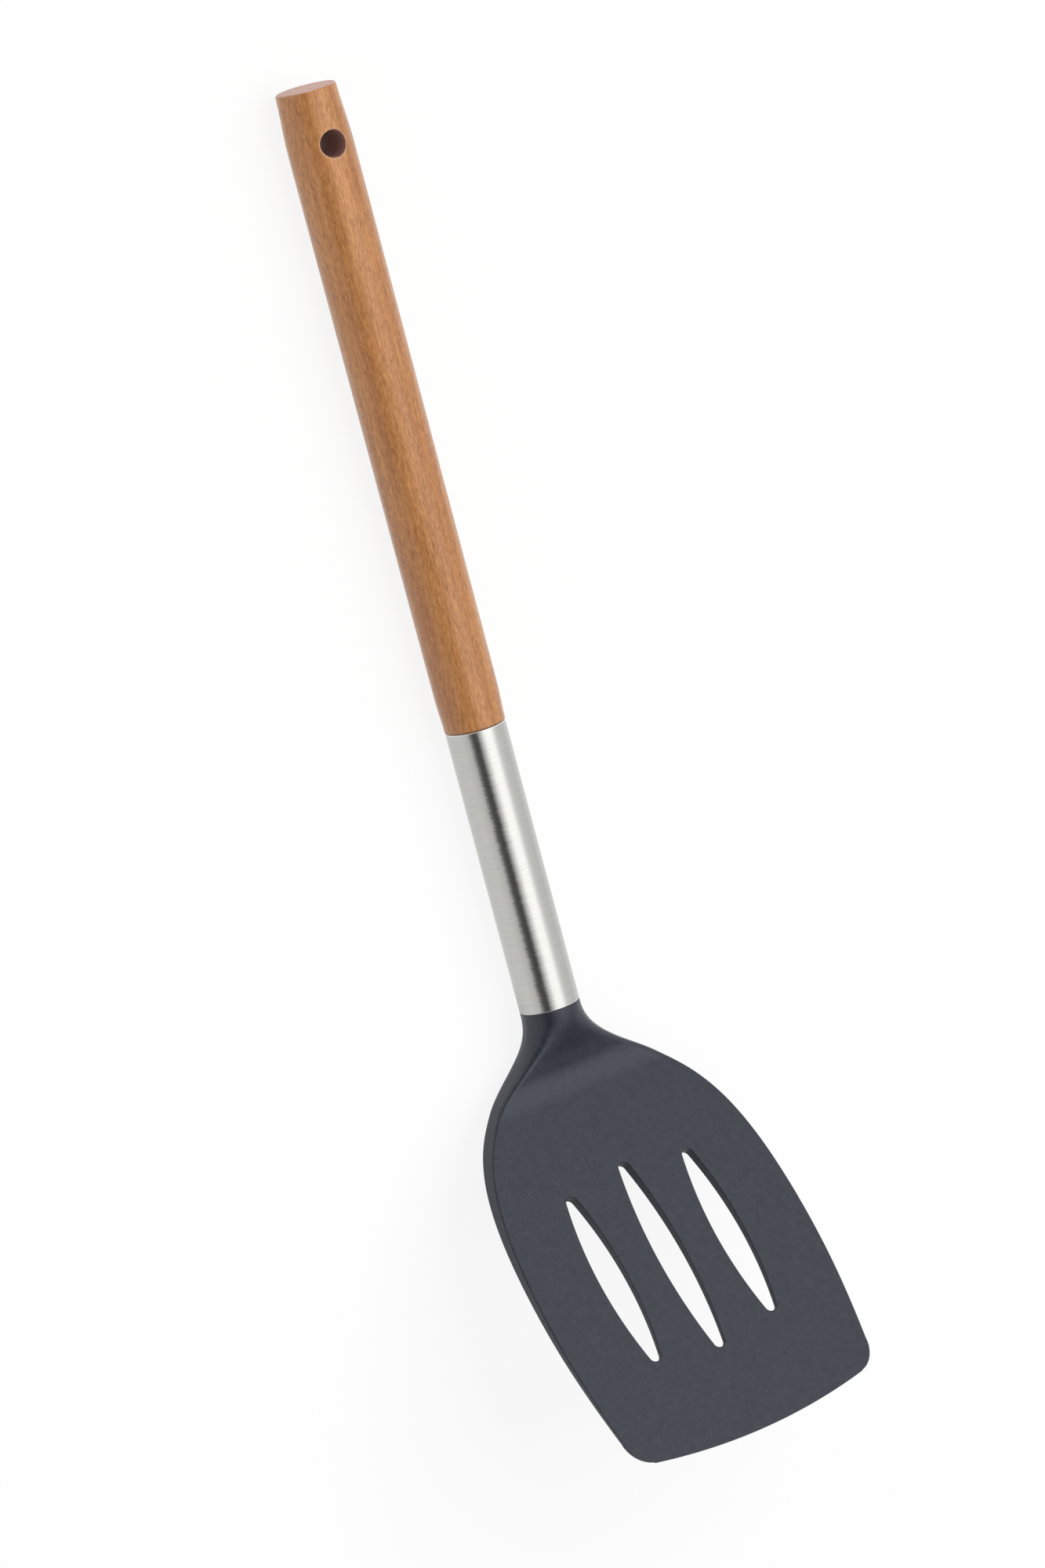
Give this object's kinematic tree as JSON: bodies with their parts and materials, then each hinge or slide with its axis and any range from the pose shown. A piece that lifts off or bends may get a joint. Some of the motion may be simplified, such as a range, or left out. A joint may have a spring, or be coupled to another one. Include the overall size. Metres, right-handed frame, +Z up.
{
  "type": "spatula",
  "caption": "Slotted kitchen turner: a bent nylon blade on a brushed steel tube, glued to a turned wooden handle with a hanging hole at its end.",
  "frame": {"origin": "centre of the bounding box in X and Y, at its lowest point in Z, where the handle touches the surface it lies on", "axes": "+X along the handle's axis from the hanging hole to the blade, +Z up out of the food side, +Y to the left of someone who holds the handle and looks along +X"},
  "size_m": [0.3582, 0.0836, 0.062],
  "materials": {
    "oiled_wood": "oiled hardwood, satin, grain along the handle",
    "brushed_steel": "brushed round the tube",
    "slate_nylon": "matte moulded nylon with a fine grain",
    "set_glue": "set glue, hidden inside the tube"
  },
  "bodies": {
    "root": {"wooden_handle": "oiled_wood", "steel_tube": "brushed_steel", "slotted_head": "slate_nylon", "handle_glue_sleeve": "set_glue", "head_glue_sleeve": "set_glue"}
  },
  "joints": []
}
